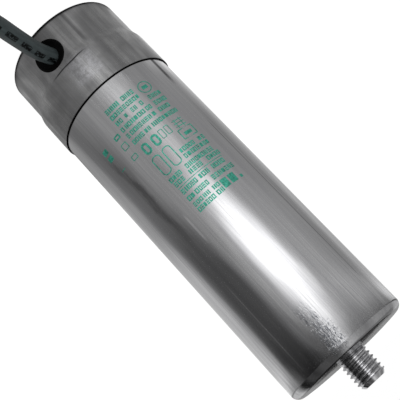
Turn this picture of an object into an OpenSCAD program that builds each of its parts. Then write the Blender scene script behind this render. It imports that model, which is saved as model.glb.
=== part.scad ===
// Motor run capacitor in a round aluminium can with a threaded stud on its base.
// A stepped cap closes the can, and a round two-core cable leaves its side.
// The part stands on the cap's flat end, so the stud points up along +Z.
// The origin is the middle of the cap's flat end, and the cable leaves along -Y.

/* [Can] */
// Outer diameter of the can
can_d = 35; // [33:0.5:37]
// Height of the can, from its rolled rim to the seat face round the stud
can_h = 101.4; // [95:0.1:130]
// Wall of the can
can_wall = 0.5; // [0.4:0.05:0.7]
// Thickness of the can's base
base_t = 1.6; // [1.2:0.1:2.5]
// Outer radius between the can's side and its base
can_corner = 2.2; // [1.2:0.1:3]
// Outer radius of the roll that closes the rim
rim_roll = 1.4; // [1.2:0.1:1.8]
// How far the rolled rim reaches in from the can's side
rim_reach = 2.6; // [2.2:0.1:3.2]
// Radius of the groove rolled in under the deck
bead_r = 1.2; // [1:0.1:1.4]
// Depth of that groove
bead_depth = 0.9; // [0.7:0.05:1]

/* [Stud] */
// Outside diameter of the stud's thread
stud_d = 8; // [6:1:10]
// Length of the stud from the seat face
stud_h = 8.5; // [7:0.5:16]
// Chamfer on the stud's tip
stud_chamfer = 1.1; // [0.6:0.1:1.6]
// Fillet where the stud meets the base
stud_fillet = 0.5; // [0.3:0.1:0.8]

/* [Cap] */
// How far the cap's neck stands in from the can's side
neck_in = 0.2; // [0.1:0.05:0.5]
// Height of the neck up to the start of the shoulder
neck_h = 12.2; // [11.5:0.1:16]
// Height of the shoulder between the neck and the skirt
shoulder_h = 2.3; // [1.8:0.1:3]
// Height of the skirt that slides over the can
skirt_h = 10.7; // [9:0.1:16]
// Wall of the drawn cap
cap_wall = 0.4; // [0.3:0.05:0.6]
// Outer radius of the cap's closed end
cap_corner = 1.8; // [1:0.1:3]
// Gap between the skirt and the can
skirt_gap = 0.02; // [0.02:0.01:0.1]

/* [Cable] */
// Outer diameter of the cable's sheath
cable_d = 4.5; // [3.5:0.1:5]
// Height of the cable outlet above the cap's end
outlet_z = 8.3; // [7.6:0.1:8.3]
// Outer diameter of one insulated core
core_d = 2; // [1.4:0.1:2.1]
// Diameter of one bare conductor
wire_d = 0.9; // [0.6:0.1:1.1]
// Length of the bare end of each core
bare_length = 6; // [4:0.5:10]
// Radius of the coil's outermost turn
coil_r = 27.2; // [25:0.1:32]
// Number of turns in the coil
coil_turns = 1.42; // [1.1:0.02:1.8]

/* [Bush] */
// Diameter of the hole for the bush in the cap's side
outlet_d = 8.9; // [7.5:0.1:9]
// Diameter of the flange that holds the bush inside the cap
bush_flange_d = 9.8; // [9.4:0.1:10]
// Thickness of that flange
bush_flange_t = 1.4; // [1:0.1:2]
// Depth of the dish in the bush's outer face
bush_dish = 1; // [0.4:0.1:1.3]
// Width of the lip round that dish
bush_lip = 0.6; // [0.3:0.1:1]
// How far the bush's outer face lies inside the neck's side
bush_recess = 0.2; // [0:0.1:0.5]
// Width of the tie behind the bush
tie_w = 2.4; // [2:0.1:2.6]
// Thickness of the tie's strap
tie_t = 1.2; // [1:0.1:1.6]
// Side of the tie's head
tie_head = 2.4; // [2:0.1:2.6]

/* [Deck] */
// Thickness of the deck's edge
deck_t = 2.5; // [2:0.1:3.5]
// Thickness of the seal ring
seal_t = 1.2; // [0.9:0.1:1.6]
// Height of the barrier between the terminals
barrier_h = 3.2; // [2:0.1:3.4]
// Thickness of that barrier
barrier_t = 1.2; // [0.8:0.1:1.6]
// Length of that barrier
barrier_length = 13; // [10:0.5:14]

/* [Terminals] */
// Thickness of the tags' metal
tag_t = 0.8; // [0.5:0.1:1]
// Width of the tags
tag_w = 4.8; // [4.4:0.1:5.4]
// Distance of the tags' upright tabs from the middle
tag_x = 5.6; // [5.2:0.1:6]
// Height of the upright tabs under the deck
tab_h = 6.6; // [6:0.1:8]
// Distance of the rivets from the tabs' inner faces
rivet_out = 3.2; // [3:0.1:3.6]
// Diameter of the rivets' shanks
rivet_d = 2.5; // [2:0.1:2.8]
// Diameter of the rivets' heads
rivet_head_d = 4.2; // [3.6:0.1:4.3]
// Thickness of the rivets' heads
rivet_head_t = 0.5; // [0.3:0.1:0.8]
// Metal of the tags' feet beyond the rivets' heads
foot_end = 0.3; // [0.2:0.1:0.8]

/* [Winding] */
// Wall of the plastic liner cup
liner_t = 0.8; // [0.5:0.1:1.2]
// Thickness of the liner cup's floor
liner_floor = 1.2; // [0.8:0.1:2]
// Depth of the resin poured between the winding and the open room under the deck
resin_h = 9; // [4:0.5:20]
// Outer diameter of the plastic tube that the film is wound on
tube_d = 8; // [7:0.1:10]
// Wall of that tube
tube_wall = 1.2; // [0.8:0.1:1.5]
// Thickness of the sprayed metal on the winding's ends
spray_t = 0.6; // [0.4:0.1:1]
// Room for the far lead between the winding and the liner's floor
end_room = 1.6; // [1.4:0.1:2.5]
// Diameter of the leads from the winding
lead_d = 1.2; // [0.8:0.1:1.2]
// Distance that the winding's resin stays back from the liner's rim
resin_back = 1; // [0.5:0.1:2]

/* [Hidden] */

// Gaps that keep neighbouring pieces apart
seat_gap = 0.02;
deck_gap = 0.1;
fit_gap = 0.05;
wind_gap = 0.2;
liner_gap = 0.4;

// How far a cutting shape runs past what it cuts
over = 1;

// Segments of a full circle
fine = 96;
plain = 48;

// Radii of the can and of the cap
can_r = can_d / 2;
can_in_r = can_r - can_wall;
neck_r = can_r - neck_in;
neck_in_r = neck_r - cap_wall;
skirt_in_r = can_r + skirt_gap;
skirt_r = skirt_in_r + cap_wall;
cap_h = neck_h + shoulder_h + skirt_h;

// Height at which the rolled rim touches the inside of the shoulder
shoulder_run = norm([skirt_in_r - neck_in_r, shoulder_h]);
slope_r = shoulder_h / shoulder_run;
slope_z = (skirt_in_r - neck_in_r) / shoulder_run;
roll_r = can_r - rim_roll;
roll_z = neck_h + (rim_roll + seat_gap - (neck_in_r - roll_r) * slope_r) / slope_z;
rim_z = roll_z - rim_roll;
base_z = rim_z + can_h;
floor_z = base_z - base_t;

// Deck, its seal and the groove that carries it
mouth_r = can_r - rim_reach;
seal_z = rim_z + can_wall;
deck_z = seal_z + seal_t;
deck_top = deck_z + deck_t;
deck_r = can_in_r - deck_gap;
bead_mid_r = can_r - bead_depth + bead_r;
bead_in_r = bead_r + can_wall;
bead_side = bead_mid_r - deck_r;
bead_z = deck_top + sqrt(bead_in_r * bead_in_r - bead_side * bead_side) + seat_gap;

// Terminals on the deck's outer face
rivet_x = tag_x + rivet_out;
foot_z = rim_z - tag_t;
head_z = foot_z - rivet_head_t;
tail_z = deck_top + rivet_head_t;
tab_low = rim_z - tab_h;
core_end_x = tag_x - 0.4;
conductor_length = tag_t + 1;

// Winding stack between the liner's floor and the resin
liner_r = can_in_r - deck_gap;
liner_in_r = liner_r - liner_t;
liner_z = bead_z + bead_in_r + liner_gap;
cup_z = floor_z - liner_floor;
far_z = cup_z - end_room;
film_top = far_z - spray_t;
resin_z = liner_z + resin_back;
near_z = resin_z + resin_h;
film_z = near_z + spray_t;
winding_h = film_top - film_z;
film_r = liner_in_r - wind_gap;
tube_r = tube_d / 2;
lead_r = lead_d / 2;

// Where the bush's flange clears the neck's curved inner wall
bush_flange_y = -sqrt(neck_in_r * neck_in_r - bush_flange_d * bush_flange_d / 4) + fit_gap;
bush_face_y = -neck_r + bush_recess;
bush_r = outlet_d / 2 - fit_gap;

// Cable: sheath, cores and the way it lies
cable_r = cable_d / 2;
core_r = core_d / 2;
core_side = core_r + fit_gap;
sheath_end_y = -9;
cable_sides = 12;
wire_sides = 8;
cable_route = [
    [0, sheath_end_y, outlet_z], [0, -13, outlet_z], [0, -17, outlet_z],
    [-0.05, -21.5, 8.5], [-0.4, -26, 8.7], [-1, -31, 8.8], [-1.6, -36, 8.7],
    [-2.15, -40.5, 8.4], [-2.64, -45, 7.84], [-3.77, -48.72, 7.06], [-5.31, -51.71, 6.22],
    [-7.2, -54.13, 5.35], [-9.34, -56.19, 4.52], [-11.65, -58.07, 3.76], [-14.07, -59.96, 3.14],
    [-16.49, -62.05, 2.7], [-18.8, -64.5, 2.5]
];
coil_x = 2;
coil_y = -82;
coil_start = 140;
coil_pitch = cable_d + 2 * fit_gap;
coil_in_r = coil_r - coil_pitch * coil_turns;
coil_end = coil_start + 360 * coil_turns;

// Stripped cores at the cable's far end, which curl inside the coil
curl_r = 10;
curl_angle = 150;
curl_mid_r = coil_in_r - curl_r;
curl_x = coil_x + curl_mid_r * cos(coil_end);
curl_y = coil_y + curl_mid_r * sin(coil_end);

// Routes of the cores inside the cap, for the side on which x is positive
core_route = [
    [core_side, sheath_end_y, outlet_z], [core_side, -8.2, outlet_z], [1.2, -6.6, outlet_z],
    [1.6, -5, outlet_z], [2.2, -3.1, outlet_z], [3, -1.5, outlet_z], [3.8, -0.4, outlet_z],
    [core_end_x - 0.5, 0, outlet_z], [core_end_x, 0, outlet_z]
];

// Route of the far lead: from its rivet to the axis, up the tube and onto the far end
far_route = [
    [-rivet_x, 0, tail_z], [-rivet_x, 0, tail_z + 0.3],
    [-rivet_x + 0.3, 0, tail_z + 0.8], [-rivet_x + 1.4, 0, tail_z + 1.2],
    [-rivet_x / 2, 0, tail_z + 1.4], [-1.8, 0, tail_z + 1.6], [-0.5, 0, tail_z + 2.2],
    [0, 0, tail_z + 3.4], [0, 0, far_z - 1.2], [0.3, 0, far_z - 0.1],
    [1.2, 0, far_z + lead_r + 0.2], [2.6, 0, far_z + lead_r + 0.3],
    [4.4, 0, far_z + lead_r + 0.2], [tube_r + 2, 0, far_z + lead_r + seat_gap]
];

function unit(v) = v / norm(v);

// Direction of a route at one of its points
function heading(path, i) =
    unit(path[min(i + 1, len(path) - 1)] - path[max(i - 1, 0)]);

// Normals that turn as little as possible from one point to the next
function settle(n, t) = unit(n - (n * t) * t);
function normals(path, first, i) =
    i == 0 ? [settle(first, heading(path, 0))] :
    let (before = normals(path, first, i - 1))
    concat(before, [settle(before[i - 1], heading(path, i))]);

// Round tube of one radius swept along a route
module swept_tube(path, r, sides, first) {
    n = normals(path, first, len(path) - 1);
    rings = [
        for (i = [0 : len(path) - 1])
            let (b = cross(heading(path, i), n[i]))
            for (k = [0 : sides - 1])
                path[i] + r * (cos(360 * k / sides) * n[i] + sin(360 * k / sides) * b)
    ];
    last = (len(path) - 1) * sides;
    walls = [
        for (i = [0 : len(path) - 2], k = [0 : sides - 1])
            let (a = i * sides + k, b = i * sides + (k + 1) % sides)
            [a, a + sides, b + sides, b]
    ];
    first_end = [for (k = [0 : sides - 1]) k];
    last_end = [for (k = [sides - 1 : -1 : 0]) last + k];
    polyhedron(points = rings, faces = concat([first_end], walls, [last_end]));
}

// Solid bar that stands on z = 0 with a rounded edge at its top
module round_top_bar(r, h, corner) {
    rotate_extrude($fn = fine) {
        polygon([[0, 0], [r, 0], [r, h - corner], [r - corner, h], [0, h]]);
        translate([r - corner, h - corner])
            circle(corner, $fn = fine);
    }
}

// Solid bar with a rounded edge at its foot
module round_foot_bar(r, h, corner) {
    translate([0, 0, h])
        mirror([0, 0, 1])
            round_top_bar(r, h, corner);
}

// Flat ring
module ring(r, in_r, h) {
    difference() {
        cylinder(r = r, h = h, $fn = fine);
        translate([0, 0, -over])
            cylinder(r = in_r, h = h + 2 * over, $fn = fine);
    }
}

module can_body() {
    translate([0, 0, rim_z])
        intersection() {
            round_top_bar(can_r, can_h, can_corner);
            round_foot_bar(can_r, can_h, rim_roll);
        }
}

module can_hollow() {
    hollow_h = can_h - can_wall - base_t;
    translate([0, 0, seal_z])
        intersection() {
            round_top_bar(can_in_r, hollow_h, can_corner - can_wall);
            round_foot_bar(can_in_r, hollow_h, rim_roll - can_wall);
        }
}

module bead(r) {
    translate([0, 0, bead_z])
        rotate_extrude($fn = fine)
            translate([bead_mid_r, 0])
                circle(r, $fn = plain);
}

// Stud with its chamfered tip and the fillet at its root, which starts inside the base
module stud() {
    stud_r = stud_d / 2;
    root_z = base_z - base_t / 2;
    tip_z = base_z + stud_h;
    rotate_extrude($fn = fine) {
        polygon([
            [0, root_z], [stud_r, root_z], [stud_r, tip_z - stud_chamfer],
            [stud_r - stud_chamfer, tip_z], [0, tip_z]
        ]);
        difference() {
            translate([0, root_z])
                square([stud_r + stud_fillet, base_z + stud_fillet - root_z]);
            translate([stud_r + stud_fillet, base_z + stud_fillet])
                circle(stud_fillet, $fn = plain);
        }
    }
}

module can() {
    color("silver") {
        difference() {
            can_body();
            difference() {
                can_hollow();
                bead(bead_in_r);
            }
            bead(bead_r);
            translate([0, 0, rim_z - over])
                cylinder(r = mouth_r, h = can_wall + 2 * over, $fn = fine);
        }
        stud();
    }
}

// Stepped bar of the cap: the neck, the shoulder's cone and the skirt
module cap_shape(foot, neck, skirt, corner) {
    rotate_extrude($fn = fine) {
        polygon([
            [0, foot], [neck - corner, foot], [neck, foot + corner], [neck, neck_h],
            [skirt, neck_h + shoulder_h], [skirt, cap_h], [0, cap_h]
        ]);
        translate([neck - corner, foot + corner])
            circle(corner, $fn = plain);
    }
}

module outlet(d, from, to) {
    translate([0, from, outlet_z])
        rotate([-90, 0, 0])
            cylinder(d = d, h = to - from, $fn = plain);
}

module cap() {
    color("darkgray")
        difference() {
            cap_shape(0, neck_r, skirt_r, cap_corner);
            cap_shape(cap_wall, neck_in_r, skirt_in_r, cap_corner - cap_wall);
            translate([0, 0, cap_h - over])
                cylinder(r = skirt_in_r, h = 2 * over, $fn = fine);
            outlet(outlet_d, -neck_r - over, -neck_r / 2);
        }
}

module cable_bush() {
    bush_h = bush_flange_y + bush_flange_t - bush_face_y;
    color([0.07, 0.07, 0.08])
        translate([0, bush_face_y, outlet_z])
            rotate([-90, 0, 0])
                difference() {
                    union() {
                        round_foot_bar(bush_r, bush_h, bush_lip / 2);
                        translate([0, 0, bush_h - bush_flange_t])
                            cylinder(d = bush_flange_d, h = bush_flange_t, $fn = fine);
                    }
                    translate([0, 0, -over])
                        cylinder(r = cable_r, h = bush_h + 2 * over, $fn = plain);
                    cylinder(r1 = bush_r - bush_lip, r2 = cable_r, h = bush_dish, $fn = plain);
                }
}

module strain_tie() {
    tie_y = bush_flange_y + bush_flange_t + fit_gap;
    color("whitesmoke")
        translate([0, tie_y, outlet_z])
            rotate([-90, 0, 0])
                difference() {
                    union() {
                        cylinder(r = cable_r + tie_t, h = tie_w, $fn = plain);
                        translate([-tie_head / 2, cable_r, 0])
                            cube([tie_head, tie_head, tie_w]);
                    }
                    translate([0, 0, -over])
                        cylinder(r = cable_r, h = tie_w + 2 * over, $fn = plain);
                }
}

module cable_lead() {
    color([0.25, 0.28, 0.28])
        swept_tube(cable_route, cable_r, cable_sides, [0, 0, 1]);
}

module cable_coil() {
    color([0.25, 0.28, 0.28])
        translate([coil_x, coil_y, cable_r])
            rotate_extrude($fn = fine) {
                translate([coil_in_r, -cable_r])
                    square([coil_r - coil_in_r, cable_d]);
                for (r = [coil_in_r, coil_r])
                    translate([r, 0])
                        circle(cable_r, $fn = plain);
            }
}

// One core that curls away from the end of the sheath
module end_core(r) {
    translate([curl_x, curl_y, core_r])
        rotate([0, 0, coil_end])
            rotate_extrude(angle = curl_angle, $fn = fine)
                translate([r, 0])
                    circle(core_r, $fn = plain);
}

module end_core_brown() {
    color("saddlebrown")
        end_core(curl_r - core_side);
}

module end_core_blue() {
    color("royalblue")
        end_core(curl_r + core_side);
}

module end_conductors() {
    color("silver")
        for (r = [curl_r - core_side, curl_r + core_side])
            translate([curl_x, curl_y, core_r])
                rotate([0, 0, coil_end + curl_angle])
                    translate([r, 0, 0])
                        rotate([-90, 0, 0])
                            cylinder(d = wire_d, h = bare_length, $fn = plain);
}

module core_brown() {
    color("saddlebrown")
        mirror([1, 0, 0])
            swept_tube(core_route, core_r, wire_sides, [0, 0, 1]);
}

module core_blue() {
    color("royalblue")
        swept_tube(core_route, core_r, wire_sides, [0, 0, 1]);
}

module core_conductors() {
    color("peru")
        for (side = [-1, 1])
            translate([side * core_end_x, 0, outlet_z])
                rotate([0, side * 90, 0])
                    cylinder(d = wire_d, h = conductor_length, $fn = plain);
}

module deck() {
    color("tan")
        difference() {
            union() {
                translate([0, 0, deck_z])
                    cylinder(r = deck_r, h = deck_t, $fn = fine);
                translate([0, 0, rim_z])
                    cylinder(r = mouth_r - 2 * deck_gap, h = deck_top - rim_z, $fn = fine);
                translate([-barrier_t / 2, -barrier_length / 2, rim_z - barrier_h])
                    cube([barrier_t, barrier_length, deck_z - rim_z + barrier_h]);
            }
            for (side = [-1, 1])
                translate([side * rivet_x, 0, rim_z - over])
                    cylinder(d = rivet_d + 2 * fit_gap, h = deck_top - rim_z + 2 * over, $fn = plain);
        }
}

module deck_seal() {
    seal_r = can_in_r - (rim_roll - can_wall);
    color([0.12, 0.12, 0.12])
        translate([0, 0, seal_z])
            ring(seal_r, mouth_r - deck_gap, seal_t);
}

// Tag for the side on which x is positive: a riveted foot and an upright tab with an eye
module tag() {
    foot = rivet_out + rivet_head_d / 2 + foot_end;
    difference() {
        union() {
            translate([tag_x, -tag_w / 2, foot_z])
                cube([foot, tag_w, tag_t]);
            translate([tag_x, -tag_w / 2, tab_low])
                cube([tag_t, tag_w, tab_h]);
        }
        translate([rivet_x, 0, foot_z - over])
            cylinder(d = rivet_d + 2 * fit_gap, h = tag_t + 2 * over, $fn = plain);
        translate([tag_x - over, 0, outlet_z])
            rotate([0, 90, 0])
                cylinder(d = wire_d + 2 * fit_gap, h = tag_t + 2 * over, $fn = plain);
    }
}

module tag_brown() {
    color("khaki")
        mirror([1, 0, 0])
            tag();
}

module tag_blue() {
    color("khaki")
        tag();
}

module rivets() {
    color("gold")
        for (side = [-1, 1])
            translate([side * rivet_x, 0, head_z]) {
                cylinder(d = rivet_head_d, h = rivet_head_t, $fn = plain);
                cylinder(d = rivet_d, h = tail_z - head_z, $fn = plain);
                translate([0, 0, deck_top - head_z])
                    cylinder(d = rivet_head_d, h = rivet_head_t, $fn = plain);
            }
}

module winding() {
    color("gainsboro")
        translate([0, 0, film_z])
            ring(film_r, tube_r, winding_h);
}

module winding_tube() {
    color("ivory")
        translate([0, 0, near_z])
            ring(tube_r, tube_r - tube_wall, far_z - near_z);
}

module near_spray() {
    color("slategray")
        translate([0, 0, near_z])
            ring(film_r, tube_r, spray_t);
}

module far_spray() {
    color("slategray")
        translate([0, 0, film_top])
            ring(film_r, tube_r, spray_t);
}

module near_lead() {
    color("silver")
        translate([rivet_x, 0, tail_z])
            cylinder(d = lead_d, h = near_z - tail_z, $fn = plain);
}

module far_lead() {
    color("silver")
        swept_tube(far_route, lead_r, wire_sides, [0, 1, 0]);
}

module liner_cup() {
    color("lightyellow")
        difference() {
            translate([0, 0, liner_z])
                round_top_bar(liner_r, floor_z - liner_z, can_corner - can_wall);
            translate([0, 0, liner_z - over])
                cylinder(r = liner_in_r, h = cup_z - liner_z + over, $fn = fine);
        }
}

module resin_fill() {
    color("goldenrod")
        translate([0, 0, resin_z])
            difference() {
                cylinder(r = liner_in_r - fit_gap, h = near_z - resin_z, $fn = fine);
                for (x = [0, rivet_x])
                    translate([x, 0, -over])
                        cylinder(r = lead_r + fit_gap, h = near_z - resin_z + 2 * over, $fn = plain);
            }
}

can();
cap();
cable_bush();
strain_tie();
cable_lead();
cable_coil();
end_core_brown();
end_core_blue();
end_conductors();
core_brown();
core_blue();
core_conductors();
deck();
deck_seal();
tag_brown();
tag_blue();
rivets();
winding();
winding_tube();
near_spray();
far_spray();
near_lead();
far_lead();
liner_cup();
resin_fill();
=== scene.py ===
"""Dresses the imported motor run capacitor: drawn can, threaded stud, stepped cap and side cable."""

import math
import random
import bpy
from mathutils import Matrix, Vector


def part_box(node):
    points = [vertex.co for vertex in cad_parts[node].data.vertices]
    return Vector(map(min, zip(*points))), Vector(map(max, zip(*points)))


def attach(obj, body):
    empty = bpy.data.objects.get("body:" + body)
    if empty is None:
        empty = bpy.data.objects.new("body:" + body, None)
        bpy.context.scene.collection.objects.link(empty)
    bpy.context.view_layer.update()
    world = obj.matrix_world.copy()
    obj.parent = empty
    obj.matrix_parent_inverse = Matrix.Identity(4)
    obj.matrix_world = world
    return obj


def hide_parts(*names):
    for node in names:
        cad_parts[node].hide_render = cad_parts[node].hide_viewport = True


bl_info = {
    "name": "Motor run capacitor",
    "version": (1, 0, 0),
    "blender": (4, 5, 0),
    "location": "View3D > Sidebar > Capacitor",
    "description": "Builds the visible pieces of a can capacitor round its packed solids",
    "category": "Object",
}

import bmesh
import bpy
from bpy.props import FloatProperty, FloatVectorProperty, IntProperty, PointerProperty
from mathutils import Matrix, Vector

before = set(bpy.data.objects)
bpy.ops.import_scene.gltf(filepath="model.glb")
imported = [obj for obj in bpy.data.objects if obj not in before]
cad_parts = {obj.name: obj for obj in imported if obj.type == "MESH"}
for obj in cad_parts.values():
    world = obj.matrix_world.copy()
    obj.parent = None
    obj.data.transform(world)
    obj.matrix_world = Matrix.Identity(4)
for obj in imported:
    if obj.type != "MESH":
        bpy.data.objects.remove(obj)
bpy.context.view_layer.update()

MM = 0.001
CAN_LOW, CAN_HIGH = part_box("can")
CAP_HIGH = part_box("cap")[1]

# Sizes that the record doesn't hold, in metres, as in the part's source
CAN_WALL = 0.5 * MM
BASE_THICK = 1.6 * MM
BASE_CROWN = 0.45 * MM
CAN_CORNER = 2.2 * MM
RIM_ROLL = 1.4 * MM
RIM_REACH = 2.6 * MM
BEAD_R = 1.2 * MM
BEAD_DEPTH = 0.9 * MM
BEAD_ABOVE_RIM = 5.662 * MM
STUD_R = 4 * MM
STUD_LENGTH = 8.5 * MM
STUD_CHAMFER = 1.1 * MM
BASE_Z = CAN_HIGH.z - STUD_LENGTH
NECK_IN = 0.2 * MM
NECK_H = 12.2 * MM
SHOULDER_H = 2.3 * MM
CAP_WALL = 0.4 * MM
CAP_CORNER = 1.8 * MM
OUTLET_Z = 8.3 * MM
OUTLET_R = 4.45 * MM
CAP_EXIT_Y = -(CAN_HIGH.x - NECK_IN)
CABLE_R = 2.25 * MM
CORE_R = 1 * MM
BUSH_GAP = 0.05 * MM
BUSH_FLANGE = 1.4 * MM

# The stud's thread: its root, then its foot, which flares out to the base over a short plain height
THREAD_ROOT_R = 3.27 * MM
FOOT_R = 3.45 * MM
FOOT_HEIGHT = 0.5 * MM
FLARE_R = 4.4 * MM
FLARE_HEIGHT = 0.75 * MM
FLARE_RUN = 0.9 * MM
STUD_SINK = 0.5 * MM
# Shares of the pitch: flat root, the two flanks together, and the profile's points
ROOT_FLAT = 0.14
FLANKS = 0.6744
THREAD_POINTS = (0.0, 0.0928, 0.2086, 0.3243, 0.43, 0.5, 0.57, 0.6757, 0.7914, 0.9072)
THREAD_TURNS = 10

# What only the eye sees: dished face of the bush, strands of a bare wire and their turns, film of ink
BUSH_DISH = 0.9 * MM
STRAND_R = 0.14 * MM
STRAND_RING_R = 0.29 * MM
STRAND_TWIST = 0.9
INK_THICK = 0.012 * MM
INK_LIFT = 0.004 * MM
# Distance at which points of a mesh are one, and the setting of a range that eases in and out
WELD = 1e-7
EASED = {"interpolation_type": "SMOOTHSTEP"}

# How the camera is turned, the studio's radius and where the lamps point
CAMERA_RIGHT = (-0.66392, 0.36242, 0.65411)
CAMERA_UP = (-0.71458, -0.04962, -0.69780)
DOME_R = 2.9
AIM = (0, 0, 0.06)

# The cable's way from inside the cap to its coil, in millimetres, as in the part's source
CABLE_ROUTE_MM = [
    (0, -9, 8.3), (0, -13, 8.3), (0, -17, 8.3),
    (-0.05, -21.5, 8.5), (-0.4, -26, 8.7), (-1, -31, 8.8), (-1.6, -36, 8.7),
    (-2.15, -40.5, 8.4), (-2.64, -45, 7.84), (-3.77, -48.72, 7.06), (-5.31, -51.71, 6.22),
    (-7.2, -54.13, 5.35), (-9.34, -56.19, 4.52), (-11.65, -58.07, 3.76), (-14.07, -59.96, 3.14),
    (-16.49, -62.05, 2.7), (-18.8, -64.5, 2.5),
]
COIL_CENTRE_MM = (2, -82)
COIL_R_MM = 27.2
COIL_PITCH_MM = 4.6
COIL_TURNS = 1.42
COIL_START = 140
CURL_R_MM = 10
CURL_ANGLE = 150
CORE_SIDE_MM = 1.05
BARE_MM = 6


def linear(code):
    """Colour of an sRGB hex code, as linear red, green, blue and alpha."""
    parts = [int(code[i : i + 2], 16) / 255 for i in (1, 3, 5)]
    return (*(p / 12.92 if p <= 0.04045 else ((p + 0.055) / 1.055) ** 2.4 for p in parts), 1.0)


def link(tree, node, inputs):
    """Fills a node's inputs with values, sockets, or the first output in use of other nodes."""
    for name, value in inputs.items():
        if isinstance(value, bpy.types.Node):
            value = next(socket for socket in value.outputs if socket.enabled)
        if isinstance(value, bpy.types.NodeSocket):
            tree.links.new(value, node.inputs[name])
        else:
            node.inputs[name].default_value = value


def add(tree, kind, inputs=None, stops=(), **settings):
    """Adds a node with its settings and ramp stops, and links its inputs."""
    made = tree.nodes.new("ShaderNode" + kind)
    for name, value in settings.items():
        setattr(made, name, value)
    if stops:
        band = made.color_ramp.elements
        while len(band) < len(stops):
            band.new(1.0)
        for element, (place, tone) in zip(band, stops):
            element.position = place
            element.color = linear(tone) if isinstance(tone, str) else (tone, tone, tone, 1)
    link(tree, made, inputs or {})
    return made


def new_material(name):
    """An empty material with its node tree and the shader that its nodes feed."""
    mat = bpy.data.materials.new(name)
    mat.use_nodes = True
    return mat, mat.node_tree, mat.node_tree.nodes["Principled BSDF"]


def overlap(tree, *masks):
    """Where all the masks lie over each other: their product."""
    whole = masks[0]
    for mask in masks[1:]:
        whole = add(tree, "Math", {0: whole, 1: mask}, operation="MULTIPLY")
    return whole


def can_angle(tree, position):
    """Degrees round the can's axis, from -Y towards -X, at each point of the surface."""
    back = add(tree, "VectorMath", {0: position, 1: (-1, -1, 1)}, operation="MULTIPLY")
    split = add(tree, "SeparateXYZ", {"Vector": back})
    turn = add(tree, "Math", {0: split.outputs["X"], 1: split.outputs["Y"]}, operation="ARCTAN2")
    return add(tree, "Math", {0: turn}, operation="DEGREES"), split.outputs["Z"]


def window(tree, value, low, high, soft):
    """One between low and high, falling to nought over the soft width at each end."""
    rise = add(tree, "MapRange", {"Value": value, "From Min": low - soft, "From Max": low}, **EASED)
    fall = add(tree, "MapRange", {
        "Value": value, "From Min": high, "From Max": high + soft, "To Min": 1.0, "To Max": 0.0,
    }, **EASED)
    return overlap(tree, rise, fall)


def patch(tree, where, angles, angle_soft, heights, height_soft):
    """One inside a patch of the can or cap, given by its angles and its heights in millimetres."""
    angle, height = where
    return overlap(
        tree, window(tree, angle, *angles, angle_soft),
        window(tree, height, heights[0] * MM, heights[1] * MM, height_soft * MM),
    )


def broken(tree, place, noise, stops):
    """The place broken up by a noise, through a ramp with the given stops."""
    return overlap(tree, place, add(tree, "ValToRGB", {"Fac": noise}, stops))


def streaks(tree, position, across_mm, along_mm, detail=3.0):
    """Noise drawn out along the can's axis, with lines about across_mm wide and along_mm long."""
    placed = add(tree, "Mapping", {
        "Vector": position,
        "Scale": (1 / (across_mm * MM), 1 / (across_mm * MM), 1 / (along_mm * MM)),
    })
    return add(tree, "TexNoise", {"Vector": placed, "Scale": 1.0, "Detail": detail, "Roughness": 0.6})


def drawn_aluminium(name, colour, dull, rough, rough_swing, bump_mm, wave_mm, marks):
    """Aluminium drawn through a die: a soft mirror with fine lengthwise lines and a wavy skin.

    marks gives the layers laid over it, wear along with painted shade, highlights and reflections: where,
    in what colour, how much rougher.
    """
    mat, tree, shader = new_material(name)
    position = add(tree, "TexCoord").outputs["Object"]
    fine = streaks(tree, position, 0.35, 22)
    broad = streaks(tree, position, 2.6, 60, 2.0)
    wave = streaks(tree, position, 7, 30, 2.0)
    cloud = add(tree, "TexNoise", {"Vector": position, "Scale": 1 / (11.111 * MM), "Detail": 4.0})
    tone = add(tree, "ValToRGB", {"Fac": broad}, [(0.3, dull), (0.62, colour)])
    drawn = add(tree, "ValToRGB", {"Fac": fine}, [(0.45, 0.0), (0.72, 0.9)])
    wear = add(tree, "Mix", {0: 0.4, 2: fine, 3: cloud})
    roughness = add(tree, "MapRange", {
        "Value": wear, "From Min": 0.3, "From Max": 0.7, "To Min": rough, "To Max": rough + rough_swing,
    })
    layers = [(drawn, dull, 0.0), (overlap(tree, cloud, 0.35), dull, 0.0)]
    for place, code, rougher in (*layers, *marks(tree, position)):
        tone = add(tree, "Mix", {0: place, 6: tone, 7: linear(code)}, data_type="RGBA")
        roughness = add(tree, "Math", {0: place, 1: rougher, 2: roughness}, operation="MULTIPLY_ADD")
    skin = add(tree, "Bump", {"Height": wave, "Distance": wave_mm * MM, "Strength": 1.0})
    link(tree, shader, {
        "Base Color": tone, "Roughness": roughness, "Metallic": 1.0, "Anisotropic": 0.35,
        "Normal": add(tree, "Bump", {
            "Height": fine, "Distance": bump_mm * MM, "Strength": 1.0, "Normal": skin,
        }),
        "Tangent": add(tree, "Tangent", direction_type="RADIAL", axis="Z"),
    })
    return mat


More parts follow.
